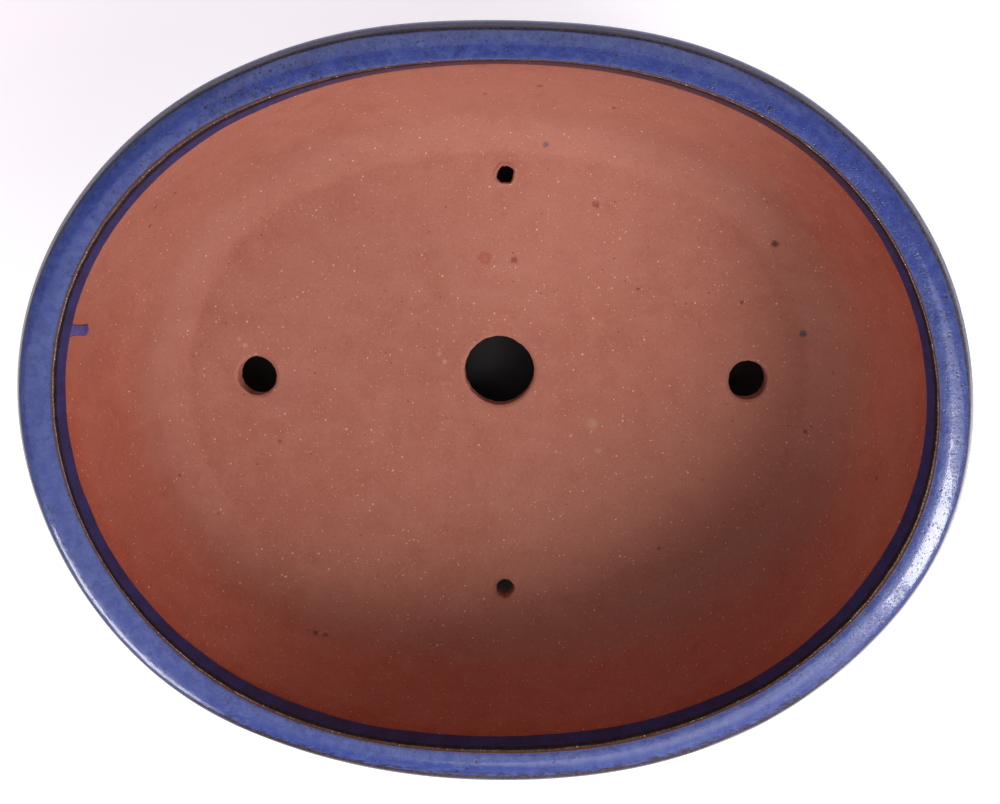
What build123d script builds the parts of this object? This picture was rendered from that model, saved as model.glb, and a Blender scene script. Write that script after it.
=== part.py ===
import math
import os

from build123d import *

# ---------------------------------------------------------------- dimensions
# Millimetres.  +X along the length of the pot, +Y across it, +Z up.
# The origin is the centre of the pot on the plane its feet stand on.
HEIGHT = 110.0            # feet to the crown of the lip
FOOT_H = 14.0             # feet to the underside of the body
FLOOR_T = 10.0            # thickness of the floor slab
JOINT_DROP = 21.0         # crown of the lip down to the lip / wall joint
BAND_DROP = 11.0          # crown of the lip down to the edge of the glaze inside
GLAZE_T = 0.8             # thickness of the glass coat
GLAZE_STOP = 1.6          # bare clay left between the outer glaze and the underside

EDGE_A = 175.0            # half length at the sharp outer edge of the lip
EDGE_B = 141.0            # half width at the same edge
EDGE_R_END = 132.0        # radius of the oval's two end arcs at that edge

DRAIN_MID_D = 30.0        # big middle drain
DRAIN_END_D = 17.0        # the two drains along the length
WIRE_D = 7.6              # the two tie-wire holes across the width
HOLES = {                 # centres in the floor, punched by hand
    "mid": (1.0, 6.5, DRAIN_MID_D),
    "left": (-104.0, 3.5, DRAIN_END_D),
    "right": (108.0, 3.0, DRAIN_END_D),
    "wire_back": (3.2, 90.0, WIRE_D),
    "wire_front": (3.6, -90.5, WIRE_D),
}

FOOT_MID = 47.0           # angle of each foot about the end-arc centre, degrees
FOOT_SPAN = 38.0          # angle one foot covers
FOOT_U_OUT = -30.8        # outer face of a foot, measured like the profiles below
FOOT_U_IN = -47.0         # inner face of a foot
FOOT_DRAFT = 1.6          # how far the faces lean in at the bottom
FOOT_SCALLOP_R = 9.5      # cloud cut at each end of a foot

DRIP_Y = 30.3             # where the glaze run lies on the left inside wall
DRIP_W = 4.8
DRIP_LEN = 15.5
DRIP_T = 0.9

# Profiles are (u, drop): u is the distance outside the lip's sharp edge, measured
# square to the oval, and drop is the depth below the crown of the lip.
LIP_GLASS = [             # glass surface: inside wall, over the top, underside
    (-14.00, BAND_DROP), (-13.75, 7.50), (-13.45, 4.20), (-13.10, 2.10), (-12.35, 0.85),
    (-11.10, 0.30), (-8.00, 0.00), (-4.80, 0.40), (-2.10, 1.20), (-0.60, 1.95),
    (0.15, 2.80), (1.30, 4.90), (2.80, 8.10), (3.80, 12.00), (3.30, 15.80),
    (1.20, 19.20), (-1.80, 20.75), (-4.20, JOINT_DROP),
]
INNER = [                 # bare clay inside the wall, below the glaze band
    (-14.00 + GLAZE_T, BAND_DROP), (-14.60, JOINT_DROP), (-16.90, 38.0), (-20.30, 55.0),
    (-25.40, 70.5), (-33.20, 81.8), (-43.00, HEIGHT - FOOT_H - FLOOR_T),
]
OUTER = [                 # clay outside the wall
    (-8.30, JOINT_DROP), (-8.90, 35.0), (-11.30, 50.0), (-15.40, 65.0),
    (-21.00, 79.0), (-28.20, HEIGHT - FOOT_H - GLAZE_STOP - 1.6),
]
SLAB_U = -43.0            # joint between the floor slab and the base ring
SEAM_DROP = 66.0          # joint between the base ring and the wall above it

# ---------------------------------------------------------------- helpers
SIDE_R = (EDGE_A**2 + EDGE_B**2 - 2 * EDGE_A * EDGE_R_END) / (2 * (EDGE_B - EDGE_R_END))
END_X = EDGE_A - EDGE_R_END
SIDE_Y = SIDE_R - EDGE_B
ALPHA = math.degrees(math.atan2(SIDE_Y, END_X))


def z_of(drop):
    return HEIGHT - drop


def pts(seq):
    return [(u, z_of(d)) for u, d in seq]


def shifted(seq, t):
    """Move an open (u, z) point list t to its left."""
    out = []
    for i, (u, z) in enumerate(seq):
        a = seq[max(0, i - 1)]
        b = seq[min(len(seq) - 1, i + 1)]
        du, dz = b[0] - a[0], b[1] - a[1]
        n = math.hypot(du, dz)
        out.append((u - dz / n * t, z + du / n * t))
    return out


def spl(points):
    return Spline(*[(u, 0, z) for u, z in points])


def seg(a, b):
    return Line((a[0], 0, a[1]), (b[0], 0, b[1]))


def face(*edges):
    return Face(Wire(list(edges)))


def sector(profile, radius, start, span, centre):
    moved = Pos(radius, 0, 0) * profile
    body = revolve(moved, Axis.Z, span)
    return Pos(centre[0], centre[1], 0) * Rot(0, 0, start) * body


def ring(profile):
    """Carry a (u, z) profile round the whole oval."""
    parts = [
        sector(profile, EDGE_R_END, -ALPHA, 2 * ALPHA, (END_X, 0)),
        sector(profile, SIDE_R, ALPHA, 180 - 2 * ALPHA, (0, -SIDE_Y)),
        sector(profile, EDGE_R_END, 180 - ALPHA, 2 * ALPHA, (-END_X, 0)),
        sector(profile, SIDE_R, 180 + ALPHA, 180 - 2 * ALPHA, (0, SIDE_Y)),
    ]
    return parts[0].fuse(*parts[1:])


def oval_face(u, z):
    re, rs = EDGE_R_END + u, SIDE_R + u
    ca, sa = math.cos(math.radians(ALPHA)), math.sin(math.radians(ALPHA))
    p = (END_X + re * ca, re * sa)
    e = [
        ThreePointArc((p[0], -p[1]), (END_X + re, 0), (p[0], p[1])),
        ThreePointArc((p[0], p[1]), (0, rs - SIDE_Y), (-p[0], p[1])),
        ThreePointArc((-p[0], p[1]), (-END_X - re, 0), (-p[0], -p[1])),
        ThreePointArc((-p[0], -p[1]), (0, SIDE_Y - rs), (p[0], -p[1])),
    ]
    return Pos(0, 0, z) * Face(Wire(e))


def one(shape):
    """The single solid in a result."""
    s = shape.solids() if hasattr(shape, "solids") else [shape]
    assert len(s) == 1, len(s)
    return s[0]


# ---------------------------------------------------------------- floor slab
z_under = FOOT_H
z_floor = FOOT_H + FLOOR_T
slab = extrude(oval_face(SLAB_U, z_under), FLOOR_T, dir=(0, 0, 1))
for x, y, d in HOLES.values():
    slab -= Pos(x, y, z_under + FLOOR_T / 2) * Cylinder(d / 2, FLOOR_T * 3)
floor_slab = one(slab)

# ---------------------------------------------------------------- lip and wall
inner = pts(INNER)
outer = pts(OUTER)
inner_band_end = inner[0]

# the glass surface is one curve from the inside band to the underside of the lip,
# and the lip's clay lies GLAZE_T under it
glass_curve = pts(LIP_GLASS)
lip_clay = shifted(glass_curve, -GLAZE_T)
lip_clay[0] = inner_band_end
lip_clay[-1] = (lip_clay[-1][0], z_of(JOINT_DROP) + GLAZE_T)

joint_in = inner[1]
joint_out = outer[0]
glass_under = (glass_curve[-1][0], z_of(JOINT_DROP))
clay_under = lip_clay[-1]
root_clay = (joint_out[0], z_of(JOINT_DROP) + GLAZE_T)

lip_profile = face(
    spl(lip_clay),
    seg(clay_under, root_clay),
    seg(root_clay, joint_out),
    seg(joint_out, joint_in),
    seg(joint_in, inner_band_end),
)
rim_lip = one(ring(lip_profile))

glaze_rim_profile = face(
    spl(glass_curve),
    seg(glass_under, joint_out),
    seg(joint_out, root_clay),
    seg(root_clay, clay_under),
    spl(lip_clay),
    seg(inner_band_end, glass_curve[0]),
)
glaze_rim = one(ring(glaze_rim_profile))

# the side of the pot: clay surface inside, clay surface outside, floor corner
corner_out = outer[-1]
foot_edge = (-30.2, z_under)
corner_mid = (-28.9, z_under + 1.5)
inner_low = inner[1:]
wall_profile = face(
    spl(inner_low),
    seg(inner_low[-1], (SLAB_U, z_under)),
    seg((SLAB_U, z_under), foot_edge),
    Spline((foot_edge[0], 0, foot_edge[1]), (corner_mid[0], 0, corner_mid[1] - 0.2),
           (corner_out[0], 0, corner_out[1])),
    spl(outer),
    seg(outer[0], inner_low[0]),
)
side = one(ring(wall_profile))

# it is laid up in two rounds: a ring that turns out of the floor, and the wall on it
below = Pos(0, 0, z_of(SEAM_DROP) - 100) * Box(3 * EDGE_A, 3 * EDGE_A, 200)
base_ring = one(side & below)
body_wall = one(side - below)

glass_outer = shifted(outer, GLAZE_T)
glass_outer[0] = (outer[0][0] + GLAZE_T, outer[0][1])
glaze_outer_profile = face(
    spl(outer),
    seg(outer[-1], glass_outer[-1]),
    spl(glass_outer),
    seg(glass_outer[0], outer[0]),
)
glaze_outer = one(ring(glaze_outer_profile))

# ---------------------------------------------------------------- glaze run inside
# a thin layer on the inside wall, cut to a round-ended strip at the left end
inner_flow = [(u - DRIP_T, z) for u, z in inner_low]
run_layer = face(
    seg(inner[0], inner[1]),
    spl(inner_low),
    seg(inner_low[-1], inner_flow[-1]),
    spl(inner_flow),
    seg(inner_flow[0], (inner[0][0] - DRIP_T, inner[0][1])),
    seg((inner[0][0] - DRIP_T, inner[0][1]), inner[0]),
)
run_ring = sector(run_layer, EDGE_R_END, 180 - ALPHA, 2 * ALPHA, (-END_X, 0))
strip = Plane.YZ * (
    Pos(DRIP_Y, z_of(BAND_DROP) - (DRIP_LEN - DRIP_W / 2) / 2)
    * Rectangle(DRIP_W, DRIP_LEN - DRIP_W / 2)
    + Pos(DRIP_Y, z_of(BAND_DROP) - (DRIP_LEN - DRIP_W / 2)) * Circle(DRIP_W / 2)
)
glaze_drip = one(run_ring & extrude(strip, -EDGE_A * 1.1, dir=(1, 0, 0)))

# ---------------------------------------------------------------- feet
def foot(sx, sy):
    top, bot = FOOT_H, 0.0
    prof = face(
        seg((FOOT_U_OUT, top), (FOOT_U_OUT - FOOT_DRAFT, bot)),
        seg((FOOT_U_OUT - FOOT_DRAFT, bot), (FOOT_U_IN + FOOT_DRAFT, bot)),
        seg((FOOT_U_IN + FOOT_DRAFT, bot), (FOOT_U_IN, top)),
        seg((FOOT_U_IN, top), (FOOT_U_OUT, top)),
    )
    f = sector(prof, EDGE_R_END, FOOT_MID - FOOT_SPAN / 2, FOOT_SPAN, (END_X, 0))
    rm = EDGE_R_END + (FOOT_U_OUT + FOOT_U_IN) / 2
    half = math.radians(FOOT_SPAN / 2)
    for s in (-1, 1):
        for dr, dz, rad in ((0.0, 0.0, FOOT_SCALLOP_R), (11.0, -1.5, 5.0)):
            ang = math.radians(FOOT_MID) + s * (half - dr / rm)
            cut = Pos(END_X + rm * math.cos(ang), rm * math.sin(ang), dz) * (
                Rot(0, 0, math.degrees(ang)) * (Rot(0, 90, 0) * Cylinder(rad, 60)))
            f -= cut
    f = one(f)
    if sx < 0:
        f = f.mirror(Plane.YZ)
    if sy < 0:
        f = f.mirror(Plane.XZ)
    return f


feet = {
    "foot_front_left": foot(-1, -1),
    "foot_front_right": foot(1, -1),
    "foot_back_left": foot(-1, 1),
    "foot_back_right": foot(1, 1),
}

# ---------------------------------------------------------------- output
os.makedirs("parts", exist_ok=True)
nodes = {
    "floor_slab": floor_slab,
    "base_ring": base_ring,
    "body_wall": body_wall,
    "rim_lip": rim_lip,
    "glaze_rim": glaze_rim,
    "glaze_outer": glaze_outer,
    "glaze_drip": glaze_drip,
    **feet,
}
for name, shape in nodes.items():
    export_step(shape, f"parts/{name}.step")
    print(name, "volume", round(shape.volume, 1), "valid", shape.is_valid)
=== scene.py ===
import math

import bmesh
import bpy
import numpy as np
from mathutils import Matrix, Vector
from mathutils.geometry import delaunay_2d_cdt


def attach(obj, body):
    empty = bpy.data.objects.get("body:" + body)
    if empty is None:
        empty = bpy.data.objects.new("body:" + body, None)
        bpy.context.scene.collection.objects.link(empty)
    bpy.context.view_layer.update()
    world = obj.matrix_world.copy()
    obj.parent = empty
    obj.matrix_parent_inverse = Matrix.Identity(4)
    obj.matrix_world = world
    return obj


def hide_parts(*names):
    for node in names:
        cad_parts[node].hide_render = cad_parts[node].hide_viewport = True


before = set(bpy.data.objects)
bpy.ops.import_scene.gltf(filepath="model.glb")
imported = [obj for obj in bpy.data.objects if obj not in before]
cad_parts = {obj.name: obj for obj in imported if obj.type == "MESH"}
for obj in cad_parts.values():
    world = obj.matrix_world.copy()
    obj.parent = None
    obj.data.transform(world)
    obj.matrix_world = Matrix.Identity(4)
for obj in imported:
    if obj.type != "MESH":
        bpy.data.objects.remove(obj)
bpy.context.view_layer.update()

rng = np.random.default_rng(515)

# ------------------------------------------------------------------ sizes (mm)
HEIGHT = 110.0
FOOT_H = 14.0
FLOOR_T = 10.0
JOINT = 21.0
BAND = 11.0
GT = 0.8
EA, EB, RE = 175.0, 141.0, 132.0
RS = (EA**2 + EB**2 - 2 * EA * RE) / (2 * (EB - RE))
EX, SY = EA - RE, RS - EB
ALPHA = math.atan2(SY, EX)
FLOOR_DROP = HEIGHT - FOOT_H - FLOOR_T
UNDER_DROP = HEIGHT - FOOT_H
SLAB_U = -43.0
HOLES = {
    "mid": (1.0, 6.5, 15.0),
    "left": (-104.0, 3.5, 8.5),
    "right": (108.0, 3.0, 8.5),
    "wire_back": (3.2, 90.0, 3.8),
    "wire_front": (3.6, -90.5, 3.8),
}


def oval(psi, u):
    """Point of the oval offset outward by u; psi is the direction of the outward normal."""
    c, s = np.cos(psi), np.sin(psi)
    end = np.arctan2(np.abs(s), np.abs(c)) <= ALPHA
    R = np.where(end, RE, RS)
    cx = np.where(end, EX * np.sign(c), 0.0)
    cy = np.where(end, 0.0, -SY * np.sign(s))
    return cx + (R + u) * c, cy + (R + u) * s


def even_psi(n, u=0.0):
    """n normal directions that are evenly spaced along the oval."""
    p = np.linspace(0, 2 * np.pi, 7201)
    c, s = np.cos(p), np.sin(p)
    R = np.where(np.arctan2(np.abs(s), np.abs(c)) <= ALPHA, RE, RS) + u
    L = np.concatenate([[0], np.cumsum((R[1:] + R[:-1]) / 2 * np.diff(p))])
    return np.interp(np.arange(n) / n * L[-1], L, p)


def way_round(psi):
    """How far round the oval psi lies, as an angle."""
    p = np.linspace(0, 2 * np.pi, 3601)
    c, s = np.cos(p), np.sin(p)
    R = np.where(np.arctan2(np.abs(s), np.abs(c)) <= ALPHA, RE, RS)
    L = np.concatenate([[0], np.cumsum((R[1:] + R[:-1]) / 2 * np.diff(p))])
    return np.interp(np.mod(psi, 2 * np.pi), p, L / L[-1] * 2 * np.pi)


def waves(psi, co):
    w = way_round(psi)
    r = np.full_like(w, co[0])
    for k in range(1, (len(co) - 1) // 2 + 1):
        r = r + co[2 * k - 1] * np.cos(k * w) + co[2 * k] * np.sin(k * w)
    return r


# how far the hand-turned outline wavers from the drawn oval, in mm
W_EDGE = [0.14, 0.20, -0.08, -0.16, -0.05, -0.01, 0.40, 0.10, -0.29, 0.16, -0.16, 0.55, -0.35, -0.05, 0.08, -0.26, -0.06, -0.13, -0.08]
W_TOP = [-0.09, 0.55, 0.17, -0.57, -0.27, 0.18, 0.83, -0.01, -0.54, 0.13, -0.09, 0.56, -0.24, -0.13, -0.14, -0.28, -0.02, -0.04, -0.01]
W_BAND = [0.26, 0.45, 0.77, -0.65, 0.21, 0.01, 0.51, 0.17, -0.32, 0.03, 0.11, 0.49, -0.15, 0.07, -0.06, -0.22, -0.05, 0.02, 0.0]


def lumps(psi, seed, lo, hi, n, amp):
    """A smooth random ripple round the oval."""
    r = np.random.default_rng(seed)
    out = np.zeros_like(psi)
    for _ in range(n):
        k = r.integers(lo, hi + 1)
        out += np.cos(k * psi + r.uniform(0, 2 * np.pi)) * r.uniform(0.4, 1.0)
    return out * amp / math.sqrt(n)


def catmull(pts, per):
    """A smooth open curve through pts with about `per` mm between points."""
    P = np.array(pts, float)
    P = np.vstack([2 * P[0] - P[1], P, 2 * P[-1] - P[-2]])
    out = []
    for i in range(1, len(P) - 2):
        p0, p1, p2, p3 = P[i - 1], P[i], P[i + 1], P[i + 2]
        d01, d12, d23 = [max(1e-6, np.linalg.norm(b - a)) ** 0.5 for a, b in ((p0, p1), (p1, p2), (p2, p3))]
        m1 = (p2 - p1) + d12 * ((p1 - p0) / d01 - (p2 - p0) / (d01 + d12))
        m2 = (p2 - p1) + d12 * ((p3 - p2) / d23 - (p3 - p1) / (d12 + d23))
        n = max(2, int(round(np.linalg.norm(p2 - p1) / per)))
        t = (np.arange(n) / n)[:, None]
        out.append((2 * t**3 - 3 * t**2 + 1) * p1 + (t**3 - 2 * t**2 + t) * m1
                   + (-2 * t**3 + 3 * t**2) * p2 + (t**3 - t**2) * m2)
    out.append(P[-2][None])
    return np.vstack(out)


def arclen(P):
    return np.concatenate([[0], np.cumsum(np.linalg.norm(np.diff(P, axis=0), axis=1))])


def left_normal(P):
    d = np.gradient(P, axis=0)
    d /= np.linalg.norm(d, axis=1)[:, None]
    return np.stack([-d[:, 1], d[:, 0]], 1)


# profiles, (u, drop): inside wall, over the top, to the underside of the lip
LIP = [
    (-14.00, 11.00), (-13.78, 7.50), (-13.50, 4.20), (-13.22, 2.20), (-12.62, 0.95),
    (-11.40, 0.34), (-8.00, 0.00), (-4.80, 0.40), (-2.10, 1.20), (-0.62, 1.95),
    (0.15, 2.80), (1.30, 4.90), (2.80, 8.10), (3.60, 12.00), (3.20, 15.80),
    (1.20, 19.20), (-1.80, 20.70), (-4.20, 21.00),
]
INNER = [
    (-13.20, 11.00), (-14.60, 21.00), (-16.90, 38.00), (-20.30, 55.00),
    (-25.40, 70.50), (-30.10, 78.40), (-35.40, 83.30), (-39.40, 85.25),
    (-41.40, 85.84), (-43.00, FLOOR_DROP),
]
OUTER = [
    (-8.30, 21.00), (-8.90, 35.00), (-11.30, 50.00), (-15.40, 65.00),
    (-21.00, 79.00), (-28.20, 92.80),
]


# ------------------------------------------------------------------ mesh helpers
def new_mesh(name, verts_mm, faces, attrs=None, smooth=38.0):
    me = bpy.data.meshes.new(name)
    me.from_pydata([tuple(v) for v in np.asarray(verts_mm) * 0.001], [], faces)
    me.validate()
    for k, v in (attrs or {}).items():
        a = me.attributes.new(k, "FLOAT", "POINT")
        a.data.foreach_set("value", np.asarray(v, np.float32).ravel())
    bm = bmesh.new()
    bm.from_mesh(me)
    bmesh.ops.recalc_face_normals(bm, faces=bm.faces)
    bm.to_mesh(me)
    bm.free()
    me.polygons.foreach_set("use_smooth", [True] * len(me.polygons))
    me.set_sharp_from_angle(angle=math.radians(smooth))
    ob = bpy.data.objects.new(name, me)
    bpy.context.scene.collection.objects.link(ob)
    return ob


def ease(v, start, room):
    """Past `start` the value flattens out over `room`, so the waver stays inside the pot's size."""
    a = np.abs(v)
    return np.sign(v) * np.where(a > start, start + room * np.tanh((a - start) / room), a)


def ring_mesh(name, psi, U, D, attrs=None, closed=True, smooth=38.0):
    """U, D are (n_psi, n_profile); the section is closed into a solid ring when asked."""
    n, m = U.shape
    x, y = oval(psi[:, None] * np.ones((1, m)), U)
    x, y = ease(x, 178.25, 0.5), ease(y, 144.25, 0.5)
    z = np.minimum(HEIGHT - D, 109.99)
    V = np.stack([x, y, z], -1).reshape(-1, 3)
    i = np.arange(n)[:, None]
    j = np.arange(m if closed else m - 1)[None, :]
    i2, j2 = (i + 1) % n, (j + 1) % m
    F = np.stack([i * m + j, i2 * m + j, i2 * m + j2, i * m + j2], -1).reshape(-1, 4)
    at = {k: np.broadcast_to(v, (n, m)) for k, v in (attrs or {}).items()}
    return new_mesh(name, V, F.tolist(), at, smooth)


# ------------------------------------------------------------------ material helpers
def srgb(r, g, b):
    f = lambda c: c / 12.92 if c <= 0.04045 else ((c + 0.055) / 1.055) ** 2.4
    return (f(r / 255), f(g / 255), f(b / 255), 1.0)


class Mat:
    def __init__(self, name):
        self.m = bpy.data.materials.new(name)
        self.m.use_nodes = True
        self.t = self.m.node_tree
        self.t.nodes.clear()
        self.o = self.n("ShaderNodeOutputMaterial")
        self.b = self.n("ShaderNodeBsdfPrincipled")
        self.t.links.new(self.b.outputs[0], self.o.inputs[0])
        tc = self.n("ShaderNodeTexCoord")
        self.P = self.vmath("SCALE", tc.outputs["Object"], scale=1000.0)

    def n(self, kind, **kw):
        x = self.t.nodes.new(kind)
        for k, v in kw.items():
            setattr(x, k, v)
        return x

    def put(self, sock, val):
        if isinstance(val, bpy.types.NodeSocket):
            self.t.links.new(val, sock)
        elif isinstance(val, (tuple, list)) and len(val) == 3 and sock.type == "RGBA":
            sock.default_value = (*val, 1.0)
        else:
            sock.default_value = val

    def math(self, op, a, b=0.0, c=0.0, clamp=False):
        x = self.n("ShaderNodeMath", operation=op, use_clamp=clamp)
        for s, v in zip(x.inputs, (a, b, c)):
            self.put(s, v)
        return x.outputs[0]

    def add(self, a, b):
        return self.math("ADD", a, b)

    def sub(self, a, b):
        return self.math("SUBTRACT", a, b)

    def mul(self, a, b):
        return self.math("MULTIPLY", a, b)

    def mx(self, a, b):
        return self.math("MAXIMUM", a, b)

    def mn(self, a, b):
        return self.math("MINIMUM", a, b)

    def vmath(self, op, a, b=None, scale=None):
        x = self.n("ShaderNodeVectorMath", operation=op)
        self.put(x.inputs[0], a)
        if b is not None:
            self.put(x.inputs[1], b)
        if scale is not None:
            self.put(x.inputs["Scale"], scale)
        return x.outputs["Value"] if op in ("LENGTH", "DISTANCE", "DOT_PRODUCT") else x.outputs["Vector"]

    def step(self, v, lo, hi):
        """0 below lo, 1 above hi, smooth between (lo may be above hi)."""
        x = self.n("ShaderNodeMapRange", interpolation_type="SMOOTHSTEP")
        if isinstance(lo, (int, float)) and isinstance(hi, (int, float)) and lo > hi:
            return self.sub(1.0, self.step(v, hi, lo))
        self.put(x.inputs["Value"], v)
        self.put(x.inputs["From Min"], lo)
        self.put(x.inputs["From Max"], hi)
        return x.outputs["Result"]

    def lerp(self, v, lo, hi, a, b):
        x = self.n("ShaderNodeMapRange")
        for k, w in (("Value", v), ("From Min", lo), ("From Max", hi), ("To Min", a), ("To Max", b)):
            self.put(x.inputs[k], w)
        return x.outputs["Result"]

    def mix(self, f, a, b, mode="MIX"):
        x = self.n("ShaderNodeMix", data_type="RGBA", blend_type=mode)
        self.put(x.inputs[0], f)
        self.put(x.inputs[6], a)
        self.put(x.inputs[7], b)
        return x.outputs[2]

    def noise(self, scale, detail=2.0, rough=0.5, vec=None, dist=0.0, color=False):
        x = self.n("ShaderNodeTexNoise")
        self.put(x.inputs["Vector"], vec if vec is not None else self.P)
        self.put(x.inputs["Scale"], scale)
        self.put(x.inputs["Detail"], detail)
        self.put(x.inputs["Roughness"], rough)
        self.put(x.inputs["Distortion"], dist)
        return x.outputs["Color" if color else "Fac"]

    def voro(self, scale, vec=None, rand=1.0, feature="F1"):
        x = self.n("ShaderNodeTexVoronoi", feature=feature)
        self.put(x.inputs["Vector"], vec if vec is not None else self.P)
        self.put(x.inputs["Scale"], scale)
        self.put(x.inputs["Randomness"], rand)
        return x.outputs["Distance"], x.outputs["Color"]

    def attr(self, name):
        return self.n("ShaderNodeAttribute", attribute_name=name).outputs["Fac"]

    def sep(self, v):
        x = self.n("ShaderNodeSeparateXYZ")
        self.put(x.inputs[0], v)
        return x.outputs

    def comb(self, a, b, c):
        x = self.n("ShaderNodeCombineXYZ")
        for s, v in zip(x.inputs, (a, b, c)):
            self.put(s, v)
        return x.outputs[0]

    def specks(self, scale, size, keep, seed=0.0, vec=None, soft=0.35, grow=None):
        """Round-ish specks: scale per mm, radius `size` mm, `keep` = share of cells that have one."""
        v = self.vmath("ADD", vec if vec is not None else self.P, (seed * 7.3, seed * 3.1, seed * 5.7))
        d, c = self.voro(scale, v)
        ch = self.sep(c)
        r = self.mul(self.lerp(ch[1], 0.0, 1.0, 0.45, 1.25), size * scale)
        if grow is not None:
            r = self.mul(r, grow)
        inside = self.step(self.math("DIVIDE", d, r), 1.0, 1.0 - soft)
        on = self.math("LESS_THAN", ch[0], keep)
        return self.mul(inside, on), ch[2]

    def bump(self, height, dist, strength=1.0, normal=None):
        x = self.n("ShaderNodeBump")
        self.put(x.inputs["Strength"], strength)
        self.put(x.inputs["Distance"], dist)
        self.put(x.inputs["Height"], height)
        if normal is not None:
            self.put(x.inputs["Normal"], normal)
        return x.outputs[0]

    def set(self, **kw):
        names = {"color": "Base Color", "rough": "Roughness", "normal": "Normal", "spec": "Specular IOR Level",
                 "coat": "Coat Weight", "coat_rough": "Coat Roughness", "ior": "IOR", "emit": "Emission Color",
                 "emit_s": "Emission Strength", "coat_normal": "Coat Normal"}
        for k, v in kw.items():
            self.put(self.b.inputs[names[k]], v)
        return self.m


# ------------------------------------------------------------------ shared wavering of the hand-made form
def warp(psi, U, D):
    """Adds the hand-made waver to a ring grid of (u, drop)."""
    p = psi[:, None] * np.ones((1, U.shape[1]))
    we, wt, wb = waves(p, W_EDGE), waves(p, W_TOP), waves(p, W_BAND)
    t1 = np.clip((U + 14.0) / 2.6, 0, 1)
    t2 = np.clip((U + 11.4) / 10.9, 0, 1)
    lip = wb + (wt - wb) * t1
    lip = lip + (we - lip) * (t2 * t2 * (3 - 2 * t2))
    fade = np.clip((86.0 - D) / 62.0, 0, 1)
    fade = fade * fade * (3 - 2 * fade)
    uin = np.interp(D, [11, 21, 38, 55, 70.5, 78.4, 83.3, 86], [-13.2, -14.6, -16.9, -20.3, -25.4, -30.1, -35.4, -43.0])
    tw = np.clip((U - uin - 1.0) / 5.0, 0, 1)
    wall = (wb + (0.6 * we - wb) * tw) * fade
    low = D > 21.001
    return U + np.where(low, wall, lip), D


NT_RING = 1440
PSI = even_psi(NT_RING)
deg = np.degrees(PSI)


def table(xs, ys):
    return np.interp(deg, xs, ys)


# ------------------------------------------------------------------ glass coat of the lip
LP = catmull(LIP, 0.28)
LV = arclen(LP)
nrm = left_normal(np.stack([LP[:, 0], -LP[:, 1]], 1))
LIN = np.stack([LP[:, 0] - GT * nrm[:, 0], LP[:, 1] + GT * nrm[:, 1]], 1)
LIN[-1] = (-4.2, 20.2)
V_FOLD = float(LV[np.argmin((LP[:, 0] + 12.75) ** 2 + (LP[:, 1] - 1.15) ** 2)])
V_BLUE = float(LV[np.argmin((LP[:, 0] + 11.35) ** 2 + (LP[:, 1] - 0.34) ** 2)])
V_EDGE = float(LV[np.argmin((LP[:, 0] + 0.35) ** 2 + (LP[:, 1] - 2.15) ** 2)])

U = np.broadcast_to(LP[:, 0], (NT_RING, len(LP))).copy()
D = np.broadcast_to(LP[:, 1], (NT_RING, len(LP))).copy()
Vg = np.broadcast_to(LV, U.shape)
# the coat ends in a rounded, slightly wandering edge on the inside wall
k = np.clip(1 - Vg / 0.9, 0, 1)
U += GT * 0.92 * (1 - np.sqrt(np.maximum(0, 1 - k * k)))
D += (lumps(PSI, 3, 5, 40, 14, 0.35) + lumps(PSI, 4, 60, 200, 20, 0.10))[:, None] * np.exp(-((Vg / 3.0) ** 2))
# ripple of the folded inner edge and of the sharp outer edge
fold = np.exp(-(((Vg - V_FOLD) / 1.0) ** 2))
edge = np.exp(-(((Vg - V_EDGE) / 1.3) ** 2))
U += lumps(PSI, 5, 12, 90, 26, 0.13)[:, None] * fold + lumps(PSI, 6, 10, 70, 22, 0.12)[:, None] * edge
D += np.abs(lumps(PSI, 7, 20, 160, 26, 0.07))[:, None] * fold
D += (0.10 + lumps(PSI, 8, 2, 9, 6, 0.07) + lumps(PSI, 9, 14, 60, 16, 0.03))[:, None] * np.clip((Vg - V_FOLD) / 4, 0, 1) * np.clip((V_EDGE + 8 - Vg) / 8, 0, 1)
Ui = np.broadcast_to(LIN[:, 0], U.shape)
Di = np.broadcast_to(LIN[:, 1], U.shape)
U2, D2 = warp(PSI, np.hstack([U, Ui[:, ::-1]]), np.hstack([D, Di[:, ::-1]]))
V2 = np.hstack([Vg, Vg[:, ::-1]])
dens = table([0, 20, 45, 60, 75, 90, 105, 120, 135, 150, 165, 180, 200, 225, 250, 270, 285, 300, 315, 330, 345, 360],
             [.75, .95, .85, .6, .75, .62, .8, .9, .5, .3, .15, .12, .14, .2, .35, .5, .55, .5, .55, .75, .85, .75])
brow = table([0, 15, 30, 45, 60, 90, 120, 150, 180, 215, 235, 245, 260, 280, 300, 312, 330, 345, 360],
             [.9, 1.5, 1.3, .8, .75, .85, .75, .5, .4, .4, .7, 1.4, 1.7, 1.6, 1.3, .6, .5, .7, .9])
smut = table([0, 20, 30, 45, 70, 82, 90, 100, 108, 118, 128, 136, 150, 240, 265, 290, 300, 330, 345, 360],
             [.5, .8, .6, .25, .25, .6, .35, .55, .9, 1., .7, .2, .0, .0, .2, .25, .1, .15, .4, .5])
lip_glaze = ring_mesh("lip_glaze", PSI, U2, D2,
                      {"V": V2, "dens": dens[:, None], "brow": brow[:, None], "smut": smut[:, None]}, smooth=60)

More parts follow.
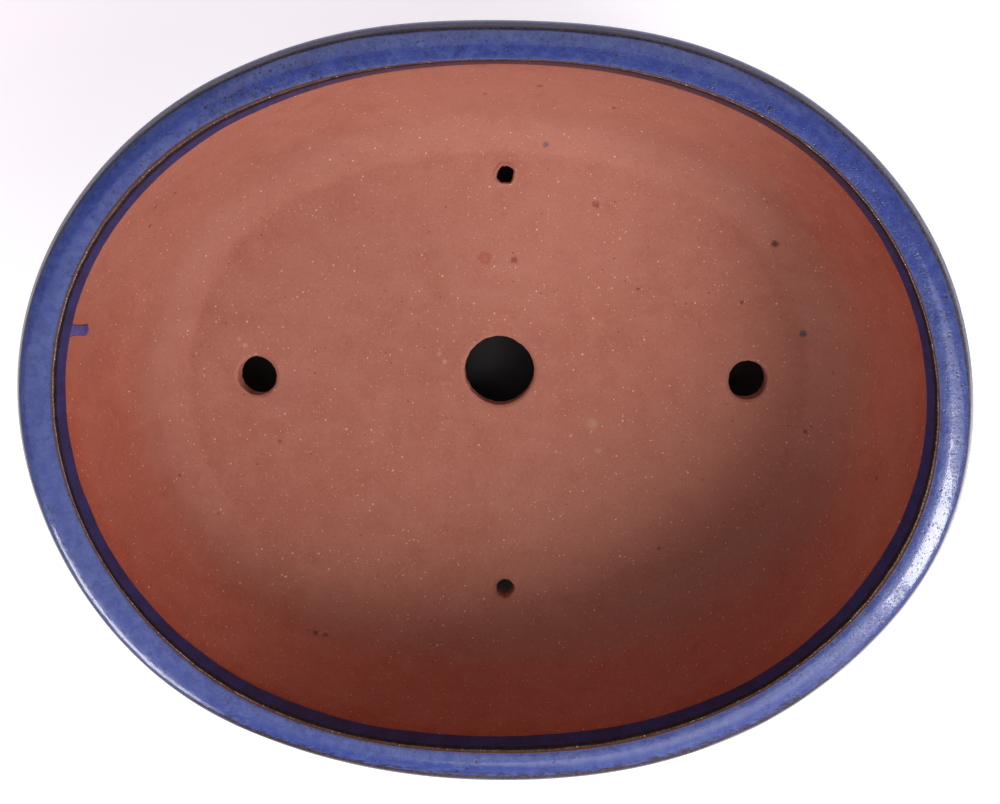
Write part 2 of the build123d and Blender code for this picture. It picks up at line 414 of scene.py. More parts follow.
# ------------------------------------------------------------------ clay of the lip
INC = catmull(INNER, 0.6)
lip_in = INC[INC[:, 1] <= 21.0 + 1e-6]
loop = np.vstack([lip_in, [(-8.3, 21.0), (-8.3, 20.2)], LIN[::-1][::2]])
Uc = np.broadcast_to(loop[:, 0], (NT_RING, len(loop)))
Dc = np.broadcast_to(loop[:, 1], Uc.shape)
Uc, Dc = warp(PSI, Uc, Dc)
lip_clay = ring_mesh("lip_clay", PSI, Uc, Dc, smooth=30)

# ------------------------------------------------------------------ clay wall
win = INC[INC[:, 1] >= 21.0 - 1e-6]
OUC = catmull(OUTER, 1.2)
NIN = len(win)
loop = np.vstack([win, [(-43.0, 91.0), (-43.0, 96.0), (-38.0, 96.0), (-33.0, 96.0), (-30.6, 95.95), (-29.6, 95.4), (-28.9, 94.4), (-28.4, 93.4)],
                  OUC[::-1], [(-11.4, 21.0)]])
Uw = np.broadcast_to(loop[:, 0], (NT_RING, len(loop))).copy()
Dw = np.broadcast_to(loop[:, 1], Uw.shape).copy()
dd = Dw[:, :NIN]
inw = np.clip((dd - 21) / 9, 0, 1) * np.clip((85.0 - dd) / 6, 0, 1)
relief = (lumps(PSI, 21, 2, 7, 6, 0.22)[:, None] * np.sin(dd / 17.0) + lumps(PSI, 22, 3, 11, 8, 0.18)[:, None] * np.cos(dd / 9.0 + 1.0)
          + lumps(PSI, 23, 8, 26, 12, 0.05)[:, None] * np.sin(dd / 4.0))
Uw[:, :NIN] += relief * inw


def bump_at(psi_deg, drop, rad, depth):
    """Adds a small round hollow to the inside wall."""
    w = 118.0 * np.abs((deg - psi_deg + 180) % 360 - 180) * math.pi / 180
    r2 = (w[:, None] ** 2 + (dd - drop) ** 2) / rad**2
    Uw[:, :NIN] += depth * np.exp(-r2 * 1.6)


for a, b, r, h in ((103.4, 25.0, 1.3, 0.5), (91.1, 56.5, 1.0, 0.4), (79.1, 49.8, 1.0, 0.4), (77.7, 58.8, 1.3, 0.6),
                   (68.6, 34.5, 1.0, 0.4), (344.7, 43.5, 1.1, 0.4), (134.7, 38.5, 1.0, 0.4), (138.7, 33.2, 1.1, 0.4),
                   (143.1, 40.2, 1.0, 0.4), (39.7, 83.5, 1.8, 0.5), (249.5, 64.0, 2.2, 0.35), (251.3, 65.5, 1.6, 0.3)):
    bump_at(a, b, r, h)
Uw, Dw = warp(PSI, Uw, Dw)
wall_clay = ring_mesh("wall_clay", PSI, Uw, Dw, smooth=30)

# ------------------------------------------------------------------ glass coat outside
OV = arclen(OUC)
no = left_normal(np.stack([OUC[:, 0], -OUC[:, 1]], 1))
OUT = np.stack([OUC[:, 0] + GT * no[:, 0], OUC[:, 1] - GT * no[:, 1]], 1)
OUT[0] = (-7.5, 21.0)
Lo = OV[-1]
N2 = 720
PSI2 = even_psi(N2)
Uo = np.broadcast_to(OUT[:, 0], (N2, len(OUT))).copy()
Do = np.broadcast_to(OUT[:, 1], Uo.shape).copy()
k = np.clip(1 - (Lo - OV) / 1.0, 0, 1)[None, :]
Uo -= GT * 0.9 * (1 - np.sqrt(np.maximum(0, 1 - k * k)))
r = np.clip(1 - (OV / 2.2), 0, 1)[None, :]
Uo += 1.0 * r * r
Do += -lumps(PSI2, 31, 4, 30, 12, 0.3)[:, None] * np.clip(1 - (Lo - OV) / 5, 0, 1)[None, :] ** 2 - 0.4 * np.clip(1 - (Lo - OV) / 5, 0, 1)[None, :] ** 2
Uo2 = np.hstack([Uo, np.broadcast_to(OUC[::-1, 0], Uo.shape)])
Do2 = np.hstack([Do, np.broadcast_to(OUC[::-1, 1], Uo.shape)])
Uo2, Do2 = warp(PSI2, Uo2, Do2)
outer_glaze = ring_mesh("outer_glaze", PSI2, Uo2, Do2,
                        {"V": np.broadcast_to(np.concatenate([OV, OV[::-1]]), Uo2.shape)}, smooth=50)

# ------------------------------------------------------------------ the glaze run on the left inside wall
ns, nt = 28, 64
S = np.linspace(-1, 1, ns + 1)
T = np.linspace(0, 1, nt + 1)
P0, P1, D0, D1 = 164.95, 165.4, 10.3, 26.3
dr = D0 + (D1 - D0) * T
wid = 2.25 + 0.9 * np.exp(-((T * 16 / 1.6) ** 2)) + 0.12 * np.sin(T * 9.0)
tip = np.clip((T - 0.865) / 0.135, 0, 1)
wid *= np.sqrt(np.maximum(0.0, 1 - tip**2))
th = (0.50 + 0.26 * np.exp(-(((T - 0.84) / 0.12) ** 2))) * np.sqrt(np.maximum(0.0, 1 - np.clip((T - 0.90) / 0.10, 0, 1) ** 2))
top, bot = [], []
for i in range(nt + 1):
    pc = math.radians(P0 + (P1 - P0) * T[i])
    uc = float(np.interp(dr[i], INC[:, 1], INC[:, 0]))
    a = pc + S * wid[i] / 118.0
    h = th[i] * np.sqrt(np.maximum(0, 1 - S**2))
    for lst, uu in ((top, uc + 0.05 - h - 0.02), (bot, uc + 0.05 + 0 * S)):
        Uq, Dq = warp(a, uu[:, None] * 1.0, np.full((ns + 1, 1), dr[i]))
        x, y = oval(a, Uq[:, 0])
        lst.append(np.stack([x, y, HEIGHT - Dq[:, 0]], -1))
top, bot = np.array(top), np.array(bot)
VV = np.concatenate([top.reshape(-1, 3), bot.reshape(-1, 3)])
m = ns + 1
off = (nt + 1) * m
F = []
for i in range(nt):
    for j in range(ns):
        a, b, c, d = i * m + j, i * m + j + 1, (i + 1) * m + j + 1, (i + 1) * m + j
        F.append((a, b, c, d))
        F.append((a + off, d + off, c + off, b + off))
for i in range(nt):
    for j in (0, ns):
        a, b = i * m + j, (i + 1) * m + j
        F.append((a, b, b + off, a + off))
for j in range(ns):
    for i in (0, nt):
        a, b = i * m + j, i * m + j + 1
        F.append((a, b, b + off, a + off))
glaze_run = new_mesh("glaze_run", VV, F, {"rim": np.concatenate([np.tile(np.abs(S), nt + 1)] * 2)}, smooth=70)

# ------------------------------------------------------------------ floor slab with its punched holes
FZ = HEIGHT - FLOOR_DROP
psi_f = PSI[::2]
bx, by = oval(psi_f, SLAB_U)
pts2, edges2 = [], []


def loop_add(xs, ys):
    s = len(pts2)
    pts2.extend(Vector((float(a), float(b))) for a, b in zip(xs, ys))
    n = len(xs)
    edges2.extend((s + i, s + (i + 1) % n) for i in range(n))
    return list(range(s, s + n))


outer_ids = loop_add(bx, by)
hole_ids, hole_shape = {}, {}
ragged = {"mid": (120, 0.22, 0.35), "left": (84, 0.16, 0.3), "right": (84, 0.18, 0.3), "wire_back": (60, 0.28, 0.55), "wire_front": (60, 0.34, 0.6)}
for q, (nm, (hx, hy, hr)) in enumerate(HOLES.items()):
    n, rough_, chip = ragged[nm]
    a = np.arange(n) / n * 2 * np.pi
    rr = hr + lumps(a, 50 + q, 2, 4, 3, rough_ * 0.8) + lumps(a, 60 + q, 5, 22, 12, rough_ * 0.55)
    r_ = np.random.default_rng(70 + q)
    for _ in range(3 if hr > 5 else 5):          # crumbs torn from the edge
        c0, wd = r_.uniform(0, 2 * np.pi), r_.uniform(0.10, 0.28) * (1 if hr > 5 else 2.0)
        rr += chip * r_.uniform(-0.5, 1.0) * np.exp(-((((a - c0 + np.pi) % (2 * np.pi)) - np.pi) / wd) ** 2)
    hole_ids[nm] = loop_add(hx + rr * np.cos(a), hy + rr * np.sin(a))
    hole_shape[nm] = (a, rr)
MARKS_F = [  # x, y, radius, depth: small hollows in the floor
    (20.3, 102.0, 1.5, 0.3), (41.6, 77.7, 1.0, 0.3), (-5.2, 54.8, 2.4, 0.10), (7.2, 54.0, 1.6, 0.18), (116.9, 61.3, 1.9, 0.6),
    (104.3, 36.6, 0.9, 0.3), (60.0, 42.0, 0.9, 0.3), (71.4, -72.1, 1.0, 0.4), (-95.0, -25.5, 1.0, 0.35), (41.3, -16.5, 2.2, -0.12),
    (44.0, -28.4, 1.2, -0.10), (-60.0, 55.0, 1.0, 0.25), (-30.0, -50.0, 0.9, 0.3), (90.0, -40.0, 0.9, 0.25), (-70.0, -60.0, 0.9, 0.25),
]


def clear_of_holes(x, y, gap):
    ok = np.ones(len(x), bool)
    for hx, hy, hr in HOLES.values():
        ok &= np.hypot(x - hx, y - hy) > hr + gap
    return ok


def inside_floor(x, y, gap):
    """True where (x, y) is at least `gap` inside the slab's edge."""
    ax, ay = np.abs(x), np.abs(y)
    re, rs = RE + SLAB_U - gap, RS + SLAB_U - gap
    e = np.hypot(ax - EX, ay) <= re
    s = np.hypot(ax, ay + SY) <= rs
    ang = np.arctan2(ay, ax - EX)
    return np.where((ax > EX) & (ang <= ALPHA), e, s)


sp = 1.7
gx, gy = np.meshgrid(np.arange(-134, 134, sp), np.arange(-100, 100, sp * 0.866))
gx = gx + (np.arange(gx.shape[0]) % 2)[:, None] * sp / 2
gx, gy = gx.ravel() + rng.uniform(-.12, .12, gx.size) * sp, gy.ravel() + rng.uniform(-.12, .12, gy.size) * sp
keep = inside_floor(gx, gy, 1.2) & clear_of_holes(gx, gy, 4.2)
for mxx, myy, mr, _ in MARKS_F:
    keep &= np.hypot(gx - mxx, gy - myy) > mr * 2.2
pts2.extend(Vector((float(a), float(b))) for a, b in zip(gx[keep], gy[keep]))
for nm, (hx, hy, hr) in HOLES.items():
    a, rr = hole_shape[nm]
    for i, dr_ in enumerate((0.25, 0.55, 0.95, 1.45, 2.1, 3.0)):
        st = 1 if dr_ < 1.2 else 2
        aa, r2 = a[::st] + i * 0.01, (rr * (1 - min(1, dr_ / 1.5)) + hr * min(1, dr_ / 1.5))[::st] + dr_
        pts2.extend(Vector((float(hx + r * math.cos(t)), float(hy + r * math.sin(t)))) for r, t in zip(r2, aa))
for mxx, myy, mr, _ in MARKS_F:
    if not inside_floor(np.array([mxx]), np.array([myy]), mr * 2 + 1)[0]:
        continue
    for rr_ in (0.0, 0.35, 0.7, 1.05, 1.4, 1.9):
        n = 1 if rr_ == 0 else 18
        for t in np.arange(n) / n * 2 * np.pi:
            pts2.append(Vector((mxx + rr_ * mr * math.cos(t), myy + rr_ * mr * math.sin(t))))
cv, ce, cf, ov_, oe_, of_ = delaunay_2d_cdt(pts2, edges2, [], 0, 1e-5, True)
cv = np.array([(v.x, v.y) for v in cv])
src = {}
for new, olds in enumerate(ov_):
    for o_ in olds:
        src[o_] = new
cen = np.array([cv[list(f)].mean(0) for f in cf])
good = np.ones(len(cf), bool)
for nm, (hx, hy, hr) in HOLES.items():
    a, rr = hole_shape[nm]
    d = np.hypot(cen[:, 0] - hx, cen[:, 1] - hy)
    t = np.arctan2(cen[:, 1] - hy, cen[:, 0] - hx) % (2 * np.pi)
    good &= d > np.interp(t, np.append(a, 2 * np.pi), np.append(rr, rr[0])) - 0.02
tri = [tuple(f) for f, g in zip(cf, good) if g]
x, y = cv[:, 0], cv[:, 1]
# distance inside the slab's edge, to fade the relief out where the wall begins
ax, ay = np.abs(x), np.abs(y)
edge_d = np.where((ax > EX) & (np.arctan2(ay, ax - EX) <= ALPHA), RE + SLAB_U - np.hypot(ax - EX, ay), RS + SLAB_U - np.hypot(ax, ay + SY))
fade = np.clip(edge_d / 14.0, 0, 1)
fade = fade * fade * (3 - 2 * fade)
r_ = np.random.default_rng(91)
und = np.zeros_like(x)
for _ in range(26):
    kx_, ky_ = r_.normal(0, 1, 2) * r_.choice([0.02, 0.045, 0.09])
    und += np.cos(kx_ * x + ky_ * y + r_.uniform(0, 6.28)) / (1 + 30 * math.hypot(kx_, ky_))
z = FZ + (-0.25 + 0.10 * und) * fade
for nm, (hx, hy, hr) in HOLES.items():
    a, rr = hole_shape[nm]
    d = np.hypot(x - hx, y - hy)
    t = np.arctan2(y - hy, x - hx) % (2 * np.pi)
    rim_r = np.interp(t, np.append(a, 2 * np.pi), np.append(rr, rr[0]))
    s_ = d - rim_r
    if hr > 5:      # cut clean, edge sunk and softly rounded
        z = z - 0.55 * np.exp(-((np.clip(s_, 0, 9) / 0.55) ** 2)) + 0.12 * np.exp(-(((s_ - 1.8) / 1.1) ** 2))
    else:           # poked through: a torn burr stands round the hole
        br = 0.35 + 0.45 * np.abs(lumps(a, 80 + int(hy > 0), 2, 9, 7, 1.0))
        bur = np.interp(t, np.append(a, 2 * np.pi), np.append(br, br[0]))
        z = z + np.clip(bur, 0, 1.0) * np.exp(-(((s_ - 0.55) / 0.5) ** 2)) - 0.3 * np.exp(-((np.clip(s_, 0, 9) / 0.3) ** 2))
for mxx, myy, mr, h in MARKS_F:
    z = z - h * np.exp(-(((x - mxx) ** 2 + (y - myy) ** 2) / mr**2) * 1.5)
nv = len(cv)
VV = np.vstack([np.stack([x, y, z], 1), np.stack([x, y, np.full(nv, FOOT_H + 0.0)], 1)])
F = list(tri) + [tuple(i + nv for i in f[::-1]) for f in tri]
VV = VV.tolist()
n = len(outer_ids)
for i in range(n):
    a, b = src[outer_ids[i]], src[outer_ids[(i + 1) % n]]
    F.append((a, b, b + nv, a + nv))
for q, (nm, ids) in enumerate(hole_ids.items()):
    hx, hy, hr = HOLES[nm]
    ids = [src[i] for i in ids]
    n = len(ids)
    prev = ids
    aa = np.arange(n) / n * 2 * np.pi
    levels = (0.08, 0.25, 0.5, 0.75, 0.93)
    for li, lv in enumerate(levels):
        wob = lumps(aa, 100 + q * 10 + li, 2, 14, 9, 0.16 if hr > 5 else 0.17)
        cur = []
        for i, v in enumerate(ids):
            px, py, pz = VV[v]
            rad = math.hypot(px - hx, py - hy)
            inn = 0.12 if hr > 5 else 0.22
            sc = (rad - inn * math.sin(lv * math.pi) + wob[i]) / rad
            cur.append(len(VV))
            VV.append([hx + (px - hx) * sc, hy + (py - hy) * sc, pz + (FOOT_H - pz) * lv])
        for i in range(n):
            F.append((prev[i], prev[(i + 1) % n], cur[(i + 1) % n], cur[i]))
        prev = cur
    low = [v + nv for v in ids]
    for i in range(n):
        F.append((prev[i], prev[(i + 1) % n], low[(i + 1) % n], low[i]))
floor_clay = new_mesh("floor_clay", np.array(VV), F, smooth=42)


# ------------------------------------------------------------------ feet
def foot_mesh(name, sx, sy):
    mid, half = math.radians(47.0), math.radians(19.0)
    ro, ri = RE - 30.8, RE - 47.0
    rm = (ro + ri) / 2
    L = half * rm
    na, nr, nz = 96, 12, 10
    t = np.linspace(-1, 1, na + 1)
    s = np.abs(t) * L
    # cloud outline: full height in the middle, two scallops towards each end
    low = np.zeros_like(s)
    for c0, c1, z0, z1 in ((L - 16.0, L - 9.0, 0.0, 5.6), (L - 9.0, L, 5.6, 10.6)):
        w = np.clip((s - c0) / (c1 - c0), 0, 1)
        low = np.maximum(low, np.where(s > c0, z0 + (z1 - z0) * np.sqrt(np.maximum(0, 1 - (1 - w) ** 2)), low))
    zt = FOOT_H
    verts, faces = [], []
    ring_n = 2 * (nr + nz)
    for i, ti in enumerate(t):
        a = mid + ti * half
        end = max(0.0, (abs(ti) - 0.90) / 0.10)
        h0 = low[i]
        per = []
        for j in range(nr):
            per.append((j / nr, 0.0))
        for j in range(nz):
            per.append((1.0, j / nz))
        for j in range(nr):
            per.append((1 - j / nr, 1.0))
        for j in range(nz):
            per.append((0.0, 1 - j / nz))
        for fr, fz in per:
            zz = h0 + (zt - h0) * fz
            lean = 1.6 * (1 - zz / zt) + 0.9 * math.sin(math.pi * min(1, zz / zt)) * -0.6
            o_, i_ = ro - lean - 0.8 * end * end, ri + lean + 0.8 * end * end
            rr = i_ + (o_ - i_) * fr
            # soften the lower arrises
            if fz == 0.0:
                e_ = min(fr, 1 - fr) * (o_ - i_)
                zz += 0.9 * max(0, 1 - e_ / 1.3) ** 2
            verts.append((EX + rr * math.cos(a), rr * math.sin(a), min(zt, zz)))
    for i in range(na):
        for j in range(ring_n):
            a_, b_ = i * ring_n + j, i * ring_n + (j + 1) % ring_n
            faces.append((a_, b_, b_ + ring_n, a_ + ring_n))
    faces.append(tuple(range(ring_n)))
    faces.append(tuple(na * ring_n + j for j in range(ring_n)))
    V = np.array(verts) * (sx, sy, 1)
    return new_mesh(name, V, faces, smooth=50)


feet = {}
for nm, sx, sy in (("front_left", -1, -1), ("front_right", 1, -1), ("back_left", -1, 1), ("back_right", 1, 1)):
    feet[nm] = foot_mesh("foot_clay_" + nm, sx, sy)


# ------------------------------------------------------------------ clay
def clay_material(name, marks):
    g = Mat(name)
    xyz = g.sep(g.P)
    drop = g.sub(HEIGHT, xyz[2])
    wide = g.noise(0.011, 3, 0.55)
    mid = g.noise(0.085, 4, 0.6, dist=0.4)
    small = g.noise(0.55, 3, 0.6)
    fine = g.noise(1.35, 3, 0.72)
    col = g.mix(g.step(wide, 0.36, 0.66), (0.372, 0.128, 0.088), (0.405, 0.150, 0.107))
    col = g.mix(g.mul(g.step(mid, 0.42, 0.70), 0.55), col, (0.425, 0.165, 0.120))
    col = g.mix(g.mul(g.step(mid, 0.46, 0.28), 0.40), col, (0.335, 0.108, 0.074))
    col = g.mix(g.mul(g.step(small, 0.50, 0.75), 0.35), col, (0.44, 0.172, 0.122))
    col = g.mix(g.mul(g.step(small, 0.48, 0.25), 0.30), col, (0.31, 0.098, 0.068))
    col = g.mix(g.mul(g.step(fine, 0.51, 0.68), 0.42), col, (0.50, 0.205, 0.145))
    col = g.mix(g.mul(g.step(fine, 0.47, 0.31), 0.46), col, (0.255, 0.078, 0.055))
    # the band where wall turns into floor is greyer and darker
    ring = g.mul(g.step(g.add(drop, g.mul(g.sub(g.noise(0.03, 3, 0.6), 0.5), 34.0)), 55.0, 76.0), g.step(xyz[2], 23.0, 27.5))
    col = g.mix(g.mul(ring, 0.30), col, (0.29, 0.122, 0.092))
    # broad wiped smears on the floor
    smear = g.noise(0.05, 4, 0.62, vec=g.vmath("MULTIPLY", g.P, (0.55, 1.5, 1.0)), dist=1.1)
    col = g.mix(g.mul(g.step(smear, 0.55, 0.72), 0.16), col, (0.47, 0.215, 0.165))
    # the wall is painted redder and darker towards the glaze, least along the lit back left wall: partly the clay's own
    # redder burn by the glaze, partly painted shade with the red of the bounce light in the shaded walls; the floor is
    # painted paler back left, a painted pool of light where the light falls
    dirn = g.add(g.mul(xyz[0], -0.34 / 150.0), g.mul(xyz[1], 0.94 / 115.0))
    back = g.step(dirn, 0.15, 0.85)
    red_burn_and_shade = g.mul(g.step(g.add(drop, g.mul(g.sub(mid, 0.5), 22.0)), 88.0, 44.0), g.sub(1.0, g.mul(back, 0.9)))
    col = g.mix(red_burn_and_shade, col, g.vmath("MULTIPLY", col, (1.04, 0.80, 0.74)))
    # the wall just under the glaze: partly its own burn, partly painted shade, left off the lit back wall
    line = g.mul(g.step(g.add(drop, g.mul(g.sub(mid, 0.5), 14.0)), 30.0, 12.0), g.sub(1.0, g.mul(back, 0.8)))
    col = g.mix(line, col, g.vmath("MULTIPLY", col, (0.97, 0.80, 0.72)))
    # painted light: the back-left floor, where the light falls, is made paler
    painted_light_pale = g.mul(g.mul(g.step(g.add(g.mul(xyz[0], 0.5), g.mul(xyz[1], -0.9)), 40.0, -70.0), g.step(xyz[2], 40.0, 26.0)), 0.9)
    col = g.mix(painted_light_pale, col, g.vmath("MULTIPLY", col, (1.07, 1.13, 1.15)))
    # grog: light grains, orange grains, dark grains
    s1, h1 = g.specks(0.80, 0.36, 0.20, 1.0)
    s2, h2 = g.specks(0.45, 0.46, 0.13, 2.0)
    s3, h3 = g.specks(0.42, 0.42, 0.10, 3.0)
    s4, h4 = g.specks(0.085, 0.55, 0.13, 4.0)
    s5, h5 = g.specks(0.62, 0.30, 0.06, 5.0)
    col = g.mix(g.mul(s1, 0.62), col, g.mix(h1, (0.58, 0.27, 0.14), (0.66, 0.38, 0.26)))
    col = g.mix(g.mul(s2, 0.70), col, g.mix(h2, (0.62, 0.30, 0.15), (0.74, 0.50, 0.36)))
    col = g.mix(g.mul(s5, 0.85), col, (0.82, 0.62, 0.48))
    col = g.mix(g.mul(s3, 0.62), col, (0.12, 0.040, 0.032))
    col = g.mix(g.mul(s4, 0.72), col, (0.085, 0.032, 0.028))
    height = g.add(g.mul(fine, 0.35), g.mul(small, 0.35))
    height = g.add(height, g.mul(g.add(s1, s2), 0.35))
    height = g.sub(height, g.mul(g.add(s3, g.mul(s4, 2.0)), 0.55))
    warp_v = g.vmath("SCALE", g.vmath("SUBTRACT", g.noise(0.9, 2, 0.5, color=True), (0.5, 0.5, 0.5)), scale=1.7)
    Pw = g.vmath("ADD", g.P, warp_v)
    for (mx_, my_, mz_, r_in, r_out, c, a) in marks:
        d = g.vmath("DISTANCE", Pw, (mx_, my_, mz_))
        m_ = g.step(d, r_out, r_in)
        if a < 0:           # a ring instead of a filled spot
            m_ = g.mul(m_, g.step(d, r_in * 0.35, r_in * 0.9))
            a = -a
        col = g.mix(g.mul(m_, a), col, c)
    rough = g.lerp(fine, 0.3, 0.7, 0.78, 0.92)
    g.set(color=col, rough=rough, spec=0.28, normal=g.bump(height, 0.00035, 0.55))
    return g.m


DK = (0.07, 0.028, 0.024)
Z0 = 24.0
MARKS = [
    (-51.9, 119.8, 85.0, 0.5, 1.5, DK, 0.85), (-4.2, 120.4, 53.5, 0.3, 1.2, DK, 0.8), (17.4, 122.2, 64.8, 0.9, 1.9, (0.22, 0.055, 0.045), -0.8),
    (41.6, 118.0, 60.2, 0.3, 1.2, DK, 0.8), (46.5, 114.8, 51.2, 0.5, 1.7, DK, 0.9), (81.3, 109.3, 75.5, 0.4, 1.4, (0.10, 0.05, 0.045), 0.8),
    (20.3, 102.0, 25.8, 0.6, 1.9, (0.085, 0.090, 0.125), 0.8), (41.6, 77.7, Z0, 0.9, 1.8, (0.20, 0.060, 0.045), -0.7),
    (-5.2, 54.8, Z0, 2.0, 3.6, (0.36, 0.075, 0.050), -0.55), (-5.2, 54.8, Z0, 1.2, 3.2, (0.39, 0.105, 0.075), 0.5),
    (7.2, 54.0, Z0, 0.9, 2.0, (0.26, 0.045, 0.035), 0.75), (116.9, 61.3, 26.3, 0.7, 2.2, (0.075, 0.030, 0.024), 0.85),
    (119.3, 62.4, 26.5, 0.3, 1.6, (0.16, 0.06, 0.045), 0.7), (116.0, 58.0, 26.0, 0.2, 1.2, DK, 0.6),
    (130.6, 23.2, 24.6, 0.9, 2.2, (0.055, 0.060, 0.095), 0.82), (104.3, 36.6, Z0, 0.3, 1.1, DK, 0.8), (60.0, 42.0, Z0, 0.2, 1.0, DK, 0.75),
    (41.3, -16.5, Z0, 1.5, 2.9, (0.44, 0.26, 0.155), 0.62), (44.0, -28.4, Z0, 0.8, 1.9, (0.46, 0.27, 0.17), 0.55),
    (133.0, -19.2, 25.2, 0.4, 1.6, DK, 0.75), (153.2, -30.2, 66.5, 0.3, 1.3, DK, 0.8), (71.4, -72.1, Z0, 0.3, 1.1, DK, 0.8),
    (-95.0, -25.5, Z0, 0.4, 1.3, (0.13, 0.045, 0.036), 0.8), (-124.0, 81.8, 71.5, 0.3, 1.3, DK, 0.8), (-130.1, 76.4, 76.8, 0.3, 1.2, DK, 0.75),
    (-134.7, 69.0, 69.8, 0.3, 1.2, DK, 0.75), (-76.8, -104.1, 46.0, 0.6, 2.0, DK, 0.75), (-73.0, -105.8, 45.0, 0.4, 1.8, DK, 0.7),
    (-79.5, -102.6, 46.5, 0.3, 1.4, DK, 0.6), (-108.8, 17.0, Z0, 0.5, 1.6, (0.62, 0.42, 0.34), 0.45), (-111.5, 19.5, Z0, 0.4, 1.5, (0.62, 0.42, 0.34), 0.35),
    (-22.4, 10.2, Z0, 0.5, 1.7, (0.62, 0.42, 0.34), 0.35), (-24.8, 13.5, Z0, 0.4, 1.4, (0.62, 0.42, 0.34), 0.3),
    (-137.4, -38.9, 31.5, 0.3, 1.0, DK, 0.8), (-138.2, -40.4, 31.9, 0.3, 0.9, DK, 0.7),
]
clay = clay_material("clay_inside", MARKS)


# ------------------------------------------------------------------ glaze
def glaze_blue(g, milky, deep, violet):
    """The body of the blue: thick saturated pools, milky thin places, a fine mottle."""
    big = g.noise(0.030, 3, 0.55)
    mid = g.noise(0.22, 3, 0.6, dist=0.5)
    mot = g.noise(1.15, 3, 0.65, dist=0.3)
    fin = g.noise(3.2, 2, 0.6)
    col = g.mix(g.step(g.add(g.mul(mid, 0.7), g.mul(big, 0.3)), 0.40, 0.62), deep, milky)
    col = g.mix(g.mul(g.step(mot, 0.50, 0.68), 0.55), col, milky)
    col = g.mix(g.mul(g.step(mot, 0.50, 0.34), 0.55), col, deep)
    col = g.mix(g.mul(g.step(g.noise(0.75, 2, 0.6, vec=g.vmath("ADD", g.P, (31.0, 7.0, 3.0))), 0.52, 0.70), 0.42), col, violet)
    col = g.mix(g.mul(g.step(fin, 0.56, 0.74), 0.30), col, (milky[0] * 1.35, milky[1] * 1.3, milky[2] * 1.15))
    col = g.mix(g.mul(g.step(fin, 0.44, 0.28), 0.30), col, (deep[0] * 0.7, deep[1] * 0.7, deep[2] * 0.75))
    return col, mid, mot, fin


